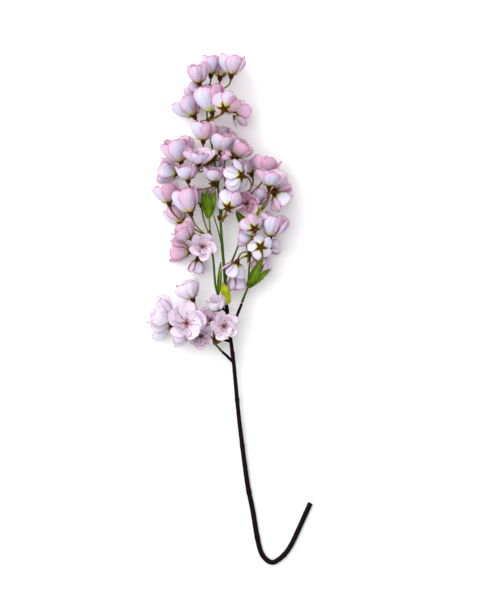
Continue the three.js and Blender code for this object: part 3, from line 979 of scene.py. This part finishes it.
def scalesAt(joint, members):
    # brown bud scales stand where a cluster's stalks leave the shoot, and lean out along them.
    # Their dark brown is partly the scales' own colour and partly painted shade deep in the
    # clusters
    specs = []
    for i in range(scales["count"]):
        flower = members[i % len(members)]
        heading = (Vector(flower["at"]) - Vector(joint)).normalized()
        aside = Vector([chance.uniform(*scales["aside"]) for _ in range(3)])
        length = scales["length"] * chance.uniform(*scales["lengths"])
        tip = Vector(joint) + (heading + aside).normalized() * length
        width = scales["width"] * chance.uniform(*scales["widths"])
        specs.append(leaf(joint, tip, width, "scale"))
    return specs


def leafSheet(spec):
    bm = newShape()
    coarser = scales["coarser"] if spec["kind"] == "scale" else 1
    columns, rows = leaves["across"] // coarser, leaves["along"] // coarser
    bmesh.ops.create_grid(bm, x_segments=columns, y_segments=rows, size=1.0)
    alongLayer = bm.verts.layers.float["along"]
    sideLayer = bm.verts.layers.float["side"]
    start = Vector(spec["root"])
    rib = Vector(spec["tip"]) - start
    length = rib.length
    across = rib.cross(up).normalized()
    rise = across.cross(rib).normalized()
    phase = chance.uniform(0, 6.28)
    teeth = leaves["tooth"] if spec["kind"] == "leaf" else 0.0
    for vert in bm.verts:
        u, v = vert.co.x, (vert.co.y + 1) / 2
        bow = math.sin(math.pi * (leaves["foot"] + (1 - leaves["foot"]) * v))
        half = max(spec["width"] / 2 * bow**0.85, leaves["leastHalf"])
        # the saw teeth of the margin point to the tip
        saw = (v * leaves["along"] / leaves["toothRows"]) % 1
        if abs(u) > 0.99:
            half *= 1 + teeth * (saw * 2 - 0.6)
        lift = leaves["arch"] * length * math.sin(math.pi * v)
        lift += leaves["fold"] * half * abs(u) ** 1.3
        lift += leaves["wave"] * length * math.sin(v * 9 + u * 2 + phase) * abs(u)
        vert[alongLayer] = v
        vert[sideLayer] = u
        vert.co = start + rib * v + across * (u * half) + rise * lift
    bmesh.ops.recalc_face_normals(bm, faces=bm.faces)
    bmesh.ops.solidify(bm, geom=bm.faces[:], thickness=leaves["thickness"])
    return bm


stems = {"sides": 12, "steps": 40, "swell": 0.12, "joints": 19, "shortness": 8}


def stemShape(spec):
    # a green stem, a little swollen at its joints
    count = stems["steps"]
    first, last = spec["radii"]
    radii = []
    for i in range(count + 1):
        t = i / count
        wave = max(0.0, math.sin(t * stems["joints"] + first * 5))
        swell = stems["swell"] * wave ** stems["shortness"]
        radii.append(lerp(first, last, t) * (1 + swell))
    return sweep(places(smoothLine(spec["points"], count), radii), stems["sides"])


bladeKinds = ("leaf", "bract", "scale")
bladeMaterials = [leafMaterial, bractMaterial, scaleAndShadeMaterial]


def makeShoot(shootName, plan):
    stemParts, stalkParts, calyxParts, bladeParts, stamenParts = (newShape() for _ in range(5))
    for spec in plan["stems"]:
        join(stemParts, stemShape(spec))
    for spec in plan["leaves"]:
        join(bladeParts, leafSheet(spec), bladeKinds.index(spec["kind"]))
    for cluster, (joint, members) in plan["clusters"].items():
        for spec in scalesAt(joint, members):
            join(bladeParts, leafSheet(spec), bladeKinds.index("scale"))
        for i, flower in enumerate(members):
            name = f"{cluster}_bloom_{i + 1}"
            milk, dusk = bloomTints.get(name, clusterTints[cluster])
            corolla(flower, name, milk, dusk * flower["dulling"])
            join(stalkParts, stalkOf(flower, joint))
            join(calyxParts, calyxOf(flower))
            stamenRing(flower, stamenParts)
    for shape in (stalkParts, calyxParts, stamenParts, bladeParts):
        liftOff(shape)
    makePiece(stemParts, shootName + "_stems", [shootMaterial], [shootName])
    makePiece(stalkParts, shootName + "_stalks", [stalkMaterial], [shootName])
    makePiece(calyxParts, shootName + "_calyxes", [calyxMaterial], [shootName])
    makePiece(stamenParts, shootName + "_stamens", [stamenMaterial])
    makePiece(bladeParts, shootName + "_leaves", bladeMaterials, [shootName])


for shootName, plan in shoots.items():
    makeShoot(shootName, plan)
    print(shootName, "made")

bark = {
    "hookHeight": 2.587,
    "thick": 2.8,
    "thin": 1.9,
    "even": 0.4,
    "twigs": (1.7, 1.5),
    "sides": 16,
    "steps": 260,
    "twigSteps": 30,
    "lowest": 0.02,  # the flat underside of the bark
    "knot": 0.16,
    "knots": 46,
    "knotShortness": 24,
    "rough": ((0.35, 0.10), (1.3, 0.05)),  # how fine a roughness is, and how deep
}
trunkRoute = [
    (89, -213), (81, -231), (69.5, -256), (62, -268), (54, -275.5), (47, -278.8), (40.5, -276),
    (34.5, -268), (30.5, -253), (27.5, -236), (24.5, -218), (19, -190, 3.6), (11.5, -133, 6.8),
    (7.5, -95, 9.8), (4, -57, 13.5), (0.8, -32, 16.5), (-2, -8, 19), (-4, 7, 20.5),
]
twigRoutes = [
    [(2, -45, 15), (-2, -14, 20), (-8, 4, 22), (-11.5, 13, 22.5)],
    [(4, -57, 13.5), (-3, -50, 15), (-8.5, -45, 16.5)],
    [(-1, -20, 17.5), (5, -11, 20), (10.5, 2, 22), (13, 8.5, 22.5)],
    [(1, -34, 16.5), (-5, -32, 18.5), (-10.5, -30.5, 20)],
]


def barkBar(route, radiusAt, count):
    line = smoothLine(route, count)
    radii = [radiusAt(i / count) for i in range(count + 1)]
    bm = sweep(places(line, radii), bark["sides"])
    for vert in bm.verts:
        rough = sum(noise.noise(vert.co * fine) * deep for fine, deep in bark["rough"])
        vert.co += vert.normal * rough
        vert.co.z = max(vert.co.z, bark["lowest"])
    return bm


def trunkRadius(t):
    thinning = max(t - bark["even"], 0) / (1 - bark["even"])
    wave = max(0.0, math.sin(t * bark["knots"]))
    knot = bark["knot"] * wave ** bark["knotShortness"] * (0.3 + t)
    return lerp(bark["thick"], bark["thin"], thinning) * (1 + knot)


branchShape = newShape()
fullRoute = [(*p, bark["hookHeight"]) if len(p) == 2 else p for p in trunkRoute]
join(branchShape, barkBar(fullRoute, trunkRadius, bark["steps"]))
for route in twigRoutes:
    join(branchShape, barkBar(route, lambda t: lerp(*bark["twigs"], t), bark["twigSteps"]))
makePiece(branchShape, "branch_bark", [barkMaterial], ["branch"])
print("branch made")

studio = {
    "floor": paint(255, 255, 255),
    "world": 0.62,
    "key": 27.0,
    "keySize": 1.7,
    "keyPlace": (-0.58, 0.42, 1.42),
    "lens": 120,
    "sensor": 36,
    "floorReach": 6000,
    "centre": (11.0, 12.1),
    "height": 660.0,  # millimetres of the floor from top to bottom of the picture
    "level": 20.0,  # the height over the floor at which that holds
}


def makeStudio():
    floorShape = newShape()
    bmesh.ops.create_grid(floorShape, x_segments=1, y_segments=1, size=studio["floorReach"])
    bmesh.ops.scale(floorShape, vec=(0.001, 0.001, 0.001), verts=floorShape.verts)
    mesh = bpy.data.meshes.new("floor")
    floorShape.to_mesh(mesh)
    floorShape.free()
    mesh.materials.append(Finish("floor", Base_Color=studio["floor"], Roughness=0.9).material)
    floor = bpy.data.objects.new("floor", mesh)
    bpy.context.scene.collection.objects.link(floor)
    world = bpy.data.worlds.new("studio")
    world.use_nodes = True
    world.node_tree.nodes["Background"].inputs["Color"].default_value = (1, 1, 1, 1)
    world.node_tree.nodes["Background"].inputs["Strength"].default_value = studio["world"]
    bpy.context.scene.world = world
    key = bpy.data.lights.new("key", "AREA")
    key.size = studio["keySize"]
    key.energy = studio["key"]
    keyLamp = bpy.data.objects.new("key", key)
    keyLamp.location = studio["keyPlace"]
    keyLamp.rotation_euler = (-Vector(studio["keyPlace"])).to_track_quat("-Z", "Y").to_euler()
    bpy.context.scene.collection.objects.link(keyLamp)
    camera = bpy.data.cameras.new("camera")
    camera.lens = studio["lens"]
    camera.sensor_width = studio["sensor"]
    view = bpy.data.objects.new("camera", camera)
    # the picture's long side is its height, and the sensor's width spans it
    distance = studio["height"] / 1000 * studio["lens"] / studio["sensor"] + studio["level"] / 1000
    view.location = (studio["centre"][0] / 1000, studio["centre"][1] / 1000, distance)
    bpy.context.scene.collection.objects.link(view)
    bpy.context.scene.camera = view
    bpy.context.scene.view_settings.view_transform = "Standard"


makeStudio()
print("studio ready")
